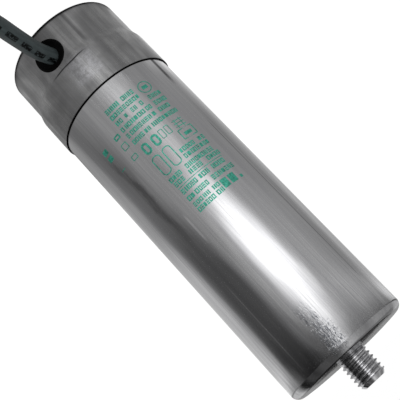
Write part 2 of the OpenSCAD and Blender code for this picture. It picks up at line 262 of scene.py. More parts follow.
def can_marks(tree, position):
    """Layers on the can: a painted dark reflection, painted glints, scuffs, brushed lines, a thin dark
    line, a run, thread and painted shade at the joint.
    """
    where = angle, height = can_angle(tree, position)
    base, joint = BASE_Z / MM, CAP_HIGH.z / MM

    # Scuffs by the base: fine strokes, pits that end them, and the bare flecks between
    rubbed = patch(tree, where, (6, 14), 5, (base - 11, base - 4), 6)
    strokes = ((0.38, 1.0), (0.43, 0.0), (0.52, 0.0), (0.55, 1.0), (0.6, 1.0), (0.63, 0.0))
    scored = broken(tree, rubbed, streaks(tree, position, 0.24, 3.6, 8.0), strokes)
    pitted = patch(tree, where, (8, 17), 5, (base - 6.5, base - 3.2), 3)
    specks = broken(tree, pitted, streaks(tree, position, 0.22, 0.5, 6.0), ((0.42, 0.9), (0.49, 0.0)))
    scuffs = add(tree, "Math", {0: overlap(tree, scored, 0.75), 1: specks}, operation="MAXIMUM")
    worn = add(tree, "Math", {0: rubbed, 1: pitted}, operation="MAXIMUM")
    flecks = broken(tree, worn, streaks(tree, position, 0.2, 0.8, 6.0), ((0.58, 0.0), (0.64, 0.85)))

    # A painted dark reflection: a smoky band that leans round the can as it rises, and wavers
    lean = add(tree, "Math", {0: height, 1: -250.0, 2: 15.0}, operation="MULTIPLY_ADD")
    drift = add(tree, "Math", {0: angle, 1: lean}, operation="ADD")
    waver = add(tree, "TexNoise", {
        "Vector": position, "Scale": 1 / (6.6667 * MM), "Detail": 5.0, "Roughness": 0.6,
    })
    drift = add(tree, "Math", {0: waver, 1: 14.0, 2: drift}, operation="MULTIPLY_ADD")
    painted_reflection_wisp = patch(tree, (drift, height), (-14.6, -12.8), 4.2, (46, 62), 12)
    painted_reflection_wisp = broken(tree, painted_reflection_wisp, streaks(tree, position, 0.6, 9), ((0.36, 0.2), (0.6, 0.55)))

    # Painted highlights: two short bright glints along the can, at fixed angles round it
    glints = add(tree, "Math", {
        0: patch(tree, where, (-23.3, -22.9), 0.6, (88, 108), 5),
        1: patch(tree, where, (-8.6, -7.8), 1.0, (67, 72), 3),
    }, operation="ADD")
    brushed = patch(tree, where, (8, 34), 14, (joint - 1, joint + 3), 4)
    lines = broken(tree, brushed, streaks(tree, position, 0.28, 5), ((0.4, 0.0), (0.62, 1.0)))
    # A thin dark line along the can's side, at a fixed angle round it
    dark_side_line = patch(tree, where, (67.6, 67.9), 0.5, (52, base - 14), 4)
    run = patch(tree, where, (71.5, 73), 2.5, (joint, joint + 6), 5)
    thread = window(tree, height, (base + 0.9) * MM, 1.0, 0.4 * MM)
    # Painted shade of the joint: a near-black band round the can at the skirt's edge, where the gap lies
    # in shade
    joint_shade = window(tree, height, (joint - 1) * MM, (joint + 0.28) * MM, 0.14 * MM)
    return (
        (painted_reflection_wisp, "#5C5C5E", 0.05), (overlap(tree, glints, 0.4), "#F0F0F2", 0.0),
        (scuffs, "#2E343E", 0.2), (flecks, "#F0F2F6", 0.3), (overlap(tree, lines, 0.3), "#C8C8CA", 0.7),
        (overlap(tree, dark_side_line, 0.6), "#2A2A2C", 0.1), (run, "#4A4A4C", 0.1),
        (thread, "#C6C6C8", -0.05), (joint_shade, "#0A0A0B", 0.5),
    )


def cap_marks(tree, position):
    """Layers on the cap: smears, pull marks, a painted highlight patch, painted shade in a groove and
    painted shade along the press's fold.
    """
    where = angle, height = can_angle(tree, position)
    smears = add(tree, "TexNoise", {
        "Vector": position, "Scale": 1 / (7.6923 * MM), "Detail": 5.0, "Roughness": 0.6,
        "Distortion": 0.6,
    })
    smears = add(tree, "ValToRGB", {"Fac": smears}, [(0.4, 0.0), (0.66, 0.45)])
    pulled = streaks(tree, position, 3.2, 34, 1.0)
    pulled = add(tree, "ValToRGB", {"Fac": pulled}, [(0.42, 0.0), (0.6, 0.5)])
    rubs = add(tree, "TexNoise", {
        "Vector": position, "Scale": 1 / (0.90909 * MM), "Detail": 5.0, "Roughness": 0.65,
    })
    # Painted highlight: a light patch on the shoulder where the pool of light's reflection falls
    painted_highlight_patch = patch(tree, where, (6, 24), 9, (15.2, 20.5), 3)
    painted_highlight_patch = broken(tree, painted_highlight_patch, rubs, ((0.4, 0.2), (0.6, 0.6)))
    # Painted shade of a groove down the neck: a dark stripe, as the mesh has no groove
    groove = patch(tree, where, (32.2, 33.6), 2, (1.5, 10.5), 3)
    # Painted shade along the press's fold round the shoulder: a near-black line that wanders, as the mesh
    # has no fold there
    wander = add(tree, "TexNoise", {"Vector": position, "Scale": 1 / (6.25 * MM), "Detail": 1.0})
    wandered = add(tree, "Math", {0: wander, 1: 0.8 * MM, 2: height}, operation="MULTIPLY_ADD")
    crease_shade = patch(tree, (angle, wandered), (-3, 18), 12, (14.8, 14.9), 0.3)
    return (
        (smears, "#6C6C6D", 0.1), (pulled, "#707071", 0.05), (painted_highlight_patch, "#C4C4C8", -0.06),
        (overlap(tree, groove, 0.5), "#3C3C3F", 0.1), (overlap(tree, crease_shade, 0.9), "#1C1C1E", 0.2),
    )


def joint_shade_finish():
    """Cut aluminium edge in the narrow joint, painted near black as the joint's shade, with a fine
    mottle.
    """
    mat, tree, shader = new_material("Painted_shade_cut_edge")
    position = add(tree, "TexCoord").outputs["Object"]
    shade_mottle = add(tree, "TexNoise", {"Vector": position, "Scale": 1 / (1.1111 * MM), "Detail": 3.0})
    tone = add(tree, "ValToRGB", {"Fac": shade_mottle}, [(0.3, "#0C0C0D"), (0.7, "#1C1C1E")])
    link(tree, shader, {"Base Color": tone, "Roughness": 0.75})
    return mat


def sheath_finish():
    """Extruded PVC sheath, dark grey-green and satin, with a row of worn dark marks along it."""
    mat, tree, shader = new_material("Extruded_PVC_sheath")
    lay = add(tree, "Attribute", attribute_name="lay").outputs["Vector"]
    split = add(tree, "SeparateXYZ", {"Vector": lay})
    stretched = add(tree, "Mapping", {"Vector": lay, "Scale": (1.0, 1.0, 0.15)})
    grain = add(tree, "TexNoise", {"Vector": stretched, "Scale": 1 / (0.71429 * MM), "Detail": 3.0})
    tone = add(tree, "ValToRGB", {"Fac": grain}, [(0.3, "#2C3233"), (0.7, "#3A4142")])
    stamp = add(tree, "Mapping", {"Vector": lay, "Scale": (1 / (0.55 * MM), 0.0, 1 / (0.5 * MM))})
    stamp = add(tree, "TexNoise", {"Vector": stamp, "Scale": 1.0, "Detail": 1.0})
    group = add(tree, "Math", {0: split.outputs["Z"], 1: math.tau / (7 * MM)}, operation="MULTIPLY")
    group = add(tree, "Math", {0: group}, operation="SINE")
    printed = overlap(
        tree, add(tree, "ValToRGB", {"Fac": stamp}, [(0.4, 0.0), (0.44, 1.0)]),
        window(tree, split.outputs["X"], -0.62 * MM, 0.62 * MM, 0.1 * MM),
        add(tree, "Math", {0: split.outputs["Y"], 1: 0.0}, operation="GREATER_THAN"),
        add(tree, "Math", {0: group, 1: -0.55}, operation="GREATER_THAN"),
    )
    link(tree, shader, {
        "Base Color": add(tree, "Mix", {0: printed, 6: tone, 7: linear("#020303")}, data_type="RGBA"),
        "Roughness": add(tree, "MapRange", {"Value": grain, "To Min": 0.42, "To Max": 0.58}),
        "Normal": add(tree, "Bump", {"Height": grain, "Distance": 0.02 * MM, "Strength": 0.6}),
        "Specular IOR Level": 0.2,
    })
    return mat


def speckled(name, light, dark, rough, grain_mm, metallic=0.0, swing=0.1, bump_mm=0.01, gloss=0.5):
    """Finish with a fine mottle of two near tones: rubber, moulded plastic, resin and plain metal."""
    mat, tree, shader = new_material(name)
    position = add(tree, "TexCoord").outputs["Object"]
    grain = add(tree, "TexNoise", {"Vector": position, "Scale": 1 / (grain_mm * MM), "Detail": 3.0})
    link(tree, shader, {
        "Base Color": add(tree, "ValToRGB", {"Fac": grain}, [(0.3, dark), (0.7, light)]),
        "Roughness": add(tree, "MapRange", {"Value": grain, "To Min": rough, "To Max": rough + swing}),
        "Normal": add(tree, "Bump", {"Height": grain, "Distance": bump_mm * MM, "Strength": 0.5}),
        "Metallic": metallic, "Specular IOR Level": gloss,
    })
    return mat


def ink_finish(colour):
    """Screen ink, teal green, through whose thin film the metal still shines."""
    mat, tree, shader = new_material("Screen_ink_teal")
    position = add(tree, "TexCoord").outputs["Object"]
    film = add(tree, "TexNoise", {"Vector": position, "Scale": 1 / (0.66667 * MM), "Detail": 2.0})
    full = add(tree, "MapRange", {"Value": film, "From Min": 0.3, "From Max": 0.7})
    thin = [0.45 * part for part in colour]
    link(tree, shader, {
        "Base Color": add(tree, "Mix", {0: full, 6: (*thin, 1.0), 7: (*colour, 1.0)}, data_type="RGBA"),
        "Roughness": add(tree, "MapRange", {"Value": film, "To Min": 0.3, "To Max": 0.45}),
        "Metallic": 0.7,
    })
    return mat


def place_mesh(name, bm):
    """Turns a bmesh into an object of the scene."""
    mesh = bpy.data.meshes.new(name)
    bm.to_mesh(mesh)
    bm.free()
    made = bpy.data.objects.new(name, mesh)
    bpy.context.scene.collection.objects.link(made)
    return made


def finish_piece(name, bm, materials, replaced=(), smooth_angle=35):
    """Turns a bmesh into a piece that rides on the object, with clean normals and its finish."""
    bmesh.ops.remove_doubles(bm, verts=bm.verts, dist=WELD)
    bmesh.ops.recalc_face_normals(bm, faces=bm.faces)
    piece = place_mesh(name, bm)
    for mat in materials:
        piece.data.materials.append(mat)
    piece.data.shade_smooth()
    piece.data.set_sharp_from_angle(angle=math.radians(smooth_angle))
    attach(piece, "root")
    if replaced:
        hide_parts(*replaced)
    return piece


def arc(centre, radius, start, end, steps):
    """Points of an arc in a profile, as (distance from the axis, height), in degrees from outward."""
    turns = [math.radians(start + (end - start) * i / steps) for i in range(steps + 1)]
    return [(centre[0] + radius * math.cos(t), centre[1] + radius * math.sin(t)) for t in turns]


def spin_profile(bm, profile, steps, pitch=0.0):
    """Spins a closed profile of (distance, height) points, or screws an open one up by a pitch."""
    verts = [bm.verts.new((r, 0.0, z)) for r, z in profile]
    edges = [bm.edges.new(pair) for pair in zip(verts, verts[1:])]
    if not pitch:
        edges.append(bm.edges.new((verts[-1], verts[0])))
    bmesh.ops.spin(
        bm, geom=verts + edges, cent=(0, 0, 0), axis=(0, 0, 1), dvec=(0, 0, pitch / steps),
        angle=math.radians(360), steps=steps, use_merge=not pitch, use_duplicate=False,
    )


def sweep(bm, path, radius, sides, lay=None):
    """Sweeps a capped tube along a path; the lay layer holds each point's place on it."""
    heading = (path[1] - path[0]).normalized()
    side = Vector((0, 0, 1)).cross(heading).normalized()
    made = bmesh.ops.create_circle(bm, cap_ends=False, radius=radius, segments=sides)["verts"]
    turn = Matrix((side, heading.cross(side), heading)).transposed()
    bmesh.ops.transform(bm, verts=made, matrix=Matrix.Translation(path[0]) @ turn.to_4x4())
    edges = list({e for v in made for e in v.link_edges})
    bmesh.ops.contextual_create(bm, geom=edges)
    travelled = 0.0
    if lay is not None:
        for k, v in enumerate(made):
            turned = math.tau * k / sides
            v[lay] = (radius * math.sin(turned), radius * math.cos(turned), 0.0)
    for i in range(1, len(path)):
        ahead = path[min(i + 1, len(path) - 1)] - path[i - 1]
        new_heading = ahead.normalized()
        grown = bmesh.ops.extrude_edge_only(bm, edges=edges)["geom"]
        made = [g for g in grown if isinstance(g, bmesh.types.BMVert)]
        edges = [g for g in grown if isinstance(g, bmesh.types.BMEdge)]
        bmesh.ops.rotate(
            bm, verts=made, cent=path[i - 1],
            matrix=heading.rotation_difference(new_heading).to_matrix(),
        )
        bmesh.ops.translate(bm, verts=made, vec=path[i] - path[i - 1])
        travelled += (path[i] - path[i - 1]).length
        if lay is not None:
            for v in made:
                v[lay] = (v[lay].x, v[lay].y, travelled)
        heading = new_heading
    bmesh.ops.contextual_create(bm, geom=edges)


def smooth_path(points, steps):
    """Catmull-Rom curve through the points, with the given steps between each pair."""
    ends = [2 * points[0] - points[1], *points, 2 * points[-1] - points[-2]]
    out = []
    for a, b, c, d in zip(ends, ends[1:], ends[2:], ends[3:]):
        for i in range(steps):
            t = i / steps
            bend = (2 * a - 5 * b + 4 * c - d) * t * t + (3 * b - a - 3 * c + d) * t ** 3
            out.append(0.5 * (2 * b + (c - a) * t + bend))
    out.append(points[-1])
    return out


def cable_path():
    """Centreline of the sheath, from inside the cap to the end of its coil, in metres."""
    path = smooth_path([Vector(p) * MM for p in CABLE_ROUTE_MM], 4)
    middle = Vector((*COIL_CENTRE_MM, 0)) * MM
    steps = 64
    for i in range(1, int(COIL_TURNS * steps) + 1):
        turns = i / steps
        angle = math.radians(COIL_START + 360 * turns)
        r = (COIL_R_MM - COIL_PITCH_MM * turns) * MM
        # The lead comes down to the ground over the coil's first six steps
        sink = max(0.0, 1 - i / 6) * 0.25 * MM
        path.append(middle + Vector((r * math.cos(angle), r * math.sin(angle), CABLE_R + sink)))
    return path


def core_path(side_mm):
    """Centrelines of one stripped core, which curls inside the coil, and of its straight bare end."""
    end = math.radians(COIL_START + 360 * COIL_TURNS)
    mid = COIL_R_MM - COIL_PITCH_MM * COIL_TURNS - CURL_R_MM
    centre = Vector((
        COIL_CENTRE_MM[0] + mid * math.cos(end), COIL_CENTRE_MM[1] + mid * math.sin(end), CORE_R / MM,
    ))
    r = CURL_R_MM + side_mm
    turns = [end + math.radians(a) for a in range(0, CURL_ANGLE + 1, 5)]
    curl = [centre + r * Vector((math.cos(t), math.sin(t), 0)) for t in turns]
    ahead = Vector((-math.sin(turns[-1]), math.cos(turns[-1]), 0))
    return [p * MM for p in curl], [(curl[-1] + ahead * s) * MM for s in (-0.6, 0, BARE_MM)]


class CapacitorStage(bpy.types.PropertyGroup):
    lens: FloatProperty(
        name="Lens", description="Focal length of the camera", default=76.62, min=10, max=300,
    )
    place: FloatVectorProperty(
        name="Camera", description="Where the camera stands", default=(-0.04808, -0.2073, 0.12498),
        subtype="TRANSLATION", unit="LENGTH",
    )
    key_power: FloatProperty(
        name="Key light", description="Power of the key light", default=4.0, min=0, unit="POWER",
    )
    fill_power: FloatProperty(
        name="Fill light", description="Power of the fill light", default=2.0, min=0, unit="POWER",
    )


class CapacitorBody(bpy.types.PropertyGroup):
    segments: IntProperty(
        name="Segments", description="Facets round the can and the cap", default=192, min=48, max=360,
    )
    thread_pitch: FloatProperty(
        name="Thread pitch", description="Pitch of the stud's thread",
        default=1.25 * MM, min=0.5 * MM, max=2 * MM, unit="LENGTH",
    )
    ink: FloatVectorProperty(
        name="Ink", description="Colour of the print",
        default=linear("#4EB49D")[:3], size=3, subtype="COLOR", min=0, max=1,
    )


class CAPACITOR_OT_camera(bpy.types.Operator):
    """Places the camera as the photograph was taken"""

    bl_idname = "capacitor.camera"
    bl_label = "Camera"

    def execute(self, context):
        stage = context.scene.capacitor_stage
        data = bpy.data.cameras.new("camera")
        data.lens = stage.lens
        data.sensor_width = 36
        data.clip_start = 0.01
        camera = bpy.data.objects.new("camera", data)
        right, up = Vector(CAMERA_RIGHT), Vector(CAMERA_UP)
        turn = Matrix((right, up, right.cross(up))).transposed()
        camera.matrix_world = Matrix.Translation(Vector(stage.place)) @ turn.to_4x4()
        context.scene.collection.objects.link(camera)
        context.scene.camera = camera
        context.scene.view_settings.view_transform = "Standard"
        return {"FINISHED"}


# Tones, roughness and grain of the cable's inside. Coloured PVC is smooth, with a soft shine; tinned
# copper is silvery, with broken highlights
BROWN_PVC = ("#6A3F24", "#5A331C", 0.32, 0.6)
BLUE_PVC = ("#2A57B4", "#214A9E", 0.32, 0.6)
TINNED = ("#D4D2CC", "#B9B6AE", 0.24, 0.4, 1.0)


class CAPACITOR_OT_cable(bpy.types.Operator):
    """Lays the cable from the bush to its coil, with its two stripped cores"""

    bl_idname = "capacitor.cable"
    bl_label = "Cable"

    def execute(self, context):
        brown = speckled("PVC_core_brown", *BROWN_PVC)
        blue = speckled("PVC_core_blue", *BLUE_PVC)
        tinned = speckled("Tinned_copper", *TINNED)
        ends = []
        tails = bmesh.new()
        for colour, side, mat in (("brown", -CORE_SIDE_MM, brown), ("blue", CORE_SIDE_MM, blue)):
            curl, tail = core_path(side)
            bm = bmesh.new()
            sweep(bm, curl, CORE_R, 20)
            node = f"end_core_{colour}"
            ends.append(finish_piece(f"{node}_curl", bm, [mat], [node]))
            strands(tails, tail)
        ends.append(finish_piece("end_strands", tails, [tinned], ["end_conductors"]))

        path = cable_path()
        bm = bmesh.new()
        lay = bm.verts.layers.float_vector.new("lay")
        sweep(bm, path, CABLE_R, 28, lay)
        cable = finish_piece("cable", bm, [sheath_finish()], ["cable_lead", "cable_coil"])
        # The photo's metal mirrors a bare studio, without the cable
        for piece in (cable, *ends):
            piece.visible_glossy = False
        return {"FINISHED"}


def strands(bm, tail):
    """Seven twisted strands of a bare wire, one in the middle and six round it."""
    start, along = tail[0], tail[-1] - tail[0]
    up = Vector((0, 0, 1))
    side = up.cross(along.normalized())
    sweep(bm, [start, start + along], STRAND_R, 8)
    steps = 16
    for k in range(6):
        turns = [math.tau * (k / 6 + STRAND_TWIST * i / steps) for i in range(steps + 1)]
        sweep(bm, [
            start + along * i / steps + STRAND_RING_R * (math.cos(t) * side + math.sin(t) * up)
            for i, t in enumerate(turns)
        ], STRAND_R, 8)


class CAPACITOR_OT_can(bpy.types.Operator):
    """Spins the can with its rolled rim, groove, base and threaded stud"""

    bl_idname = "capacitor.can"
    bl_label = "Can and stud"

    def execute(self, context):
        body = context.scene.capacitor_body
        bm = bmesh.new()
        spin_profile(bm, can_profile(), body.segments)
        cut_thread(bm, body.thread_pitch)
        # Impact-extruded aluminium: bright, with long reflections that the drawn lines soften
        bright = drawn_aluminium(
            "Drawn_aluminium_bright", "#BDBDBE", "#A6A6A8", 0.12, 0.09, 0.004, 0.16, can_marks,
        )
        finish_piece("can_body", bm, [bright], ["can"], smooth_angle=28)
        return {"FINISHED"}


def can_profile():
    """Closed section of the can's wall, from the inner edge of its rolled rim round and back."""
    r = CAN_HIGH.x
    low = CAN_LOW.z
    inner_r = r - CAN_WALL
    bead = (r - BEAD_DEPTH + BEAD_R, low + BEAD_ABOVE_RIM)
    half = math.degrees(math.acos((bead[0] - r) / BEAD_R))
    inner_half = math.degrees(math.acos((bead[0] - inner_r) / (BEAD_R + CAN_WALL)))
    corner = (r - CAN_CORNER, BASE_Z - CAN_CORNER)
    roll = (r - RIM_ROLL, low + RIM_ROLL)
    outer = [(r - RIM_REACH, low)]
    outer += arc(roll, RIM_ROLL, -90, 0, 10)
    outer += arc(bead, BEAD_R, 180 + half, 180 - half, 12)
    outer += arc(corner, CAN_CORNER, 0, 90, 14)
    for share in (0.96, 0.92, 0.87, 0.8, 0.7, 0.58, 0.44, 0.3, 0.0):
        outer.append((corner[0] * share, BASE_Z + BASE_CROWN * (1 - share ** 4)))
    inner = [(0.0, BASE_Z - BASE_THICK)]
    inner += arc(corner, CAN_CORNER - CAN_WALL, 90, 0, 8)
    inner += arc(bead, BEAD_R + CAN_WALL, 180 - inner_half, 180 + inner_half, 10)
    inner += arc(roll, RIM_ROLL - CAN_WALL, 0, -90, 8)
    inner += [(r - RIM_REACH, low + CAN_WALL)]
    return outer + inner


def thread_radius(share):
    """Radius of the M8 thread at a share of its pitch: flat crest and root, flanks 60 degrees apart."""
    from_root = abs(share - 0.5) * 2
    rise = min(1.0, max(0.0, (from_root - ROOT_FLAT) / FLANKS))
    return THREAD_ROOT_R + (STUD_R - THREAD_ROOT_R) * rise


def cut_thread(bm, pitch):
    """Screws a thread profile a full turn up the stud, trims it at the tip and joins it to the base."""
    tip = CAN_HIGH.z
    start = BASE_Z - 1.6 * pitch
    before = set(bm.verts)
    spin_profile(bm, [
        (thread_radius(share), start + pitch * (turn + share))
        for turn in range(THREAD_TURNS) for share in THREAD_POINTS
    ], 96, pitch)
    thread = [v for v in bm.verts if v not in before]
    bmesh.ops.remove_doubles(bm, verts=thread, dist=10 * WELD)
    for height, clear_up in ((tip, True), (BASE_Z - STUD_SINK, False)):
        thread = [v for v in bm.verts if v not in before]
        geom = thread + list({e for v in thread for e in v.link_edges})
        geom += list({f for v in thread for f in v.link_faces})
        cut = bmesh.ops.bisect_plane(
            bm, geom=geom, plane_co=(0, 0, height), plane_no=(0, 0, 1),
            clear_outer=clear_up, clear_inner=not clear_up,
        )["geom_cut"]
        bmesh.ops.contextual_create(bm, geom=[g for g in cut if isinstance(g, bmesh.types.BMEdge)])
    for v in bm.verts:
        r = math.hypot(v.co.x, v.co.y)
        if v in before or r < 10 * WELD:
            continue
        above = v.co.z - BASE_Z - BASE_CROWN
        cone = STUD_R - max(0.0, v.co.z - (tip - STUD_CHAMFER))
        foot = FOOT_R + max(0.0, FLARE_HEIGHT - above) ** 2 / FLARE_RUN
        wanted = min(max(r, min(foot, FLARE_R)), cone)
        if above < FOOT_HEIGHT:
            wanted = min(wanted, foot)
        v.co.x *= wanted / r
        v.co.y *= wanted / r


class CAPACITOR_OT_cap(bpy.types.Operator):
    """Spins the stepped cap and cuts the hole for the cable"""

    bl_idname = "capacitor.cap"
    bl_label = "Cap"

    def execute(self, context):
        body = context.scene.capacitor_body
        bm = bmesh.new()
        spin_profile(bm, cap_profile(), body.segments)
        bmesh.ops.remove_doubles(bm, verts=bm.verts, dist=WELD)
        # The skirt's cut edge and the inside next to it, which take the near-black finish of painted
        # shade in the joint
        for face in bm.faces:
            centre = face.calc_center_median()
            r = math.hypot(centre.x, centre.y)
            if centre.z > CAP_HIGH.z - 0.95 * MM and r < CAP_HIGH.x - 0.12 * MM:
                face.material_index = 1
        # Drawn sheet that many hands and the press have dulled
        dull = drawn_aluminium(
            "Drawn_aluminium_dull", "#AEAEAE", "#8E8E8F", 0.2, 0.16, 0.006, 0.4, cap_marks,
        )
        finishes = [dull, joint_shade_finish()]
        whole = finish_piece("cap_shell", bm, finishes, ["cap"], smooth_angle=30)
        model = whole.copy()
        model.data = whole.data.copy()
        context.scene.collection.objects.link(model)

        bm = bmesh.new()
        bmesh.ops.create_cone(
            bm, cap_ends=True, segments=64, radius1=OUTLET_R, radius2=OUTLET_R, depth=10 * MM,
        )
        bmesh.ops.rotate(bm, verts=bm.verts, matrix=Matrix.Rotation(math.radians(90), 3, "X"))
        bmesh.ops.translate(bm, verts=bm.verts, vec=(0, CAP_EXIT_Y, OUTLET_Z))
        drill = place_mesh("drill", bm)

        hole = whole.modifiers.new("hole", "BOOLEAN")
        hole.object = drill
        hole.solver = "EXACT"
        # The undrilled cap lends its normals, so that the wall stays smooth round the hole
        shade = whole.modifiers.new("shade", "DATA_TRANSFER")
        shade.object = model
        shade.use_loop_data = True
        shade.data_types_loops = {"CUSTOM_NORMAL"}
        shade.loop_mapping = "POLYINTERP_NEAREST"
        graph = context.evaluated_depsgraph_get()
        drilled = bpy.data.meshes.new_from_object(whole.evaluated_get(graph))
        whole.modifiers.clear()
        whole.data = drilled
        for spare in (drill, model):
            bpy.data.objects.remove(spare)
        return {"FINISHED"}


def cap_profile():
    """Closed section of the cap: flat end, neck, sloping shoulder, skirt and its opened edge."""
    r = CAP_HIGH.x
    neck = CAN_HIGH.x - NECK_IN
    top = CAP_HIGH.z
    skirt = NECK_H + SHOULDER_H
    lip = 0.1 * MM
    corner = (neck - CAP_CORNER, CAP_CORNER)
    outer = [(0.0, 0.0)]
    outer += arc(corner, CAP_CORNER, -90, 0, 10)
    # The shoulder bends softly out of the neck and into the skirt
    outer += [
        (neck, NECK_H - 0.7 * MM), (neck + 0.02 * MM, NECK_H - 0.2 * MM),
        (neck + 0.1 * MM, NECK_H + 0.4 * MM), (r - 0.12 * MM, skirt - 0.4 * MM),
        (r - 0.03 * MM, skirt + 0.1 * MM), (r, skirt + 0.7 * MM),
    ]
    outer += arc((r - lip, top - lip), lip, 0, 90, 4)
    inner = [
        (r - 0.14 * MM, top), (r - CAP_WALL, top - 0.9 * MM), (r - CAP_WALL, skirt),
        (neck - CAP_WALL, NECK_H),
    ]
    inner += arc(corner, CAP_CORNER - CAP_WALL, 0, -90, 8)
    inner += [(0.0, CAP_WALL)]
    return outer + inner


class CAPACITOR_OT_bush(bpy.types.Operator):
    """Spins the rubber bush that seals the cable in the cap"""

    bl_idname = "capacitor.bush"
    bl_label = "Bush"

    def execute(self, context):
        low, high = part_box("cable_bush")
        depth = high.y - low.y
        r = OUTLET_R - BUSH_GAP
        flange_r = (high.x - low.x) / 2
        flange_y = depth - BUSH_FLANGE
        mouth, edge = 0.2 * MM, 0.4 * MM
        profile = [(CABLE_R, depth)]
        profile += arc((CABLE_R + mouth, BUSH_DISH + mouth), mouth, 180, 260, 5)
        profile += [(r - 1.3 * MM, 0.62 * MM), (r - 0.75 * MM, 0.22 * MM)]
        profile += arc((r - edge, edge), edge, -110, 0, 8)
        profile += [(r, flange_y), (flange_r, flange_y), (flange_r, depth)]
        bm = bmesh.new()
        spin_profile(bm, profile, 72)
        bmesh.ops.rotate(bm, verts=bm.verts, matrix=Matrix.Rotation(math.radians(-90), 3, "X"))
        bmesh.ops.translate(bm, verts=bm.verts, vec=(0, low.y, OUTLET_Z))
        # Black EPDM, dull where the mould left it matt; its tone is darkened to near black as painted
        # shade of the recessed hole
        rubber = speckled("Moulded_rubber_black", "#060606", "#020202", 0.45, 1.4, swing=0.15, gloss=0.05)
        finish_piece("bush", bm, [rubber], ["cable_bush"], smooth_angle=50)
        return {"FINISHED"}


class CAPACITOR_OT_print(bpy.types.Operator):
    """Lays the print on the can as plain blocks, bars and outlines"""

    bl_idname = "capacitor.print"
    bl_label = "Print"

    def execute(self, context):
        bm = bmesh.new()
        lay_print(bm)
        bmesh.ops.solidify(bm, geom=bm.faces, thickness=INK_THICK)
        wrap_on_can(bm, INK_LIFT)
        finish_piece("print", bm, [ink_finish(context.scene.capacitor_body.ink)], smooth_angle=30)
        return {"FINISHED"}


def bar(bm, u, z, w, h):
    """Flat bar of ink centred at u round the can and z up it, in millimetres."""
    cells = max(1, math.ceil(w / 0.8))
    made = bmesh.ops.create_grid(bm, x_segments=cells, y_segments=1, size=0.5)["verts"]
    bmesh.ops.scale(bm, verts=made, vec=(w, h, 1))
    bmesh.ops.translate(bm, verts=made, vec=(u, z, 0))


def outline(bm, u, z, w, h, corner, line):
    """Outline of a rounded box, or of a ring where the corner is half its width."""
    loops = []
    for inset in (0.0, line):
        r = max(corner - inset, 0.05)
        made = bmesh.ops.create_circle(bm, cap_ends=False, radius=r, segments=32)["verts"]
        for v in made:
            v.co.x += math.copysign(max(w / 2 - inset - r, 0.0), v.co.x)
            v.co.y += math.copysign(max(h / 2 - inset - r, 0.0), v.co.y)
        bmesh.ops.translate(bm, verts=made, vec=(u, z, 0))
        loops += list({e for v in made for e in v.link_edges})
    made = bmesh.ops.bridge_loops(bm, edges=loops)
    for edge in {e for f in made["faces"] for e in f.edges}:
        cuts = int(edge.calc_length() / 0.8)
        if cuts:
            bmesh.ops.subdivide_edges(bm, edges=[edge], cuts=cuts)


# Bars that make up each kind of block in the print, in shares of its size: across, up, width, height
BLOCKS = (
    ((-0.28, 0, 0.4, 1), (0.28, 0, 0.4, 1)),
    ((0, -0.38, 0.9, 0.27), (0, 0, 0.9, 0.27), (0, 0.38, 0.9, 0.27)),
    ((0, 0, 0.85, 0.9),),
    ((-0.33, 0, 0.34, 1), (0, -0.38, 0.36, 0.24), (0.33, 0, 0.34, 1), (0, 0.38, 0.36, 0.24)),
)


def text_row(bm, rng, start, end, z, height, gaps):
    """Row of small bars, blocks and square frames round the can, with clear gaps."""
    u = start
    while u < end - 0.5:
        width = rng.choice((0.8, 0.9, 1.05))
        middle = u + width / 2
        if any(a < middle < b for a, b in gaps):
            u += 0.3
            continue
        # Frames, the last kind, come twice as often
        for across, up, w, h in BLOCKS[min(rng.randrange(5), 3)]:
            bar(bm, middle + across * width, z + up * height, w * width, h * height)
        u += width + rng.choice((0.06, 0.1, 0.16))


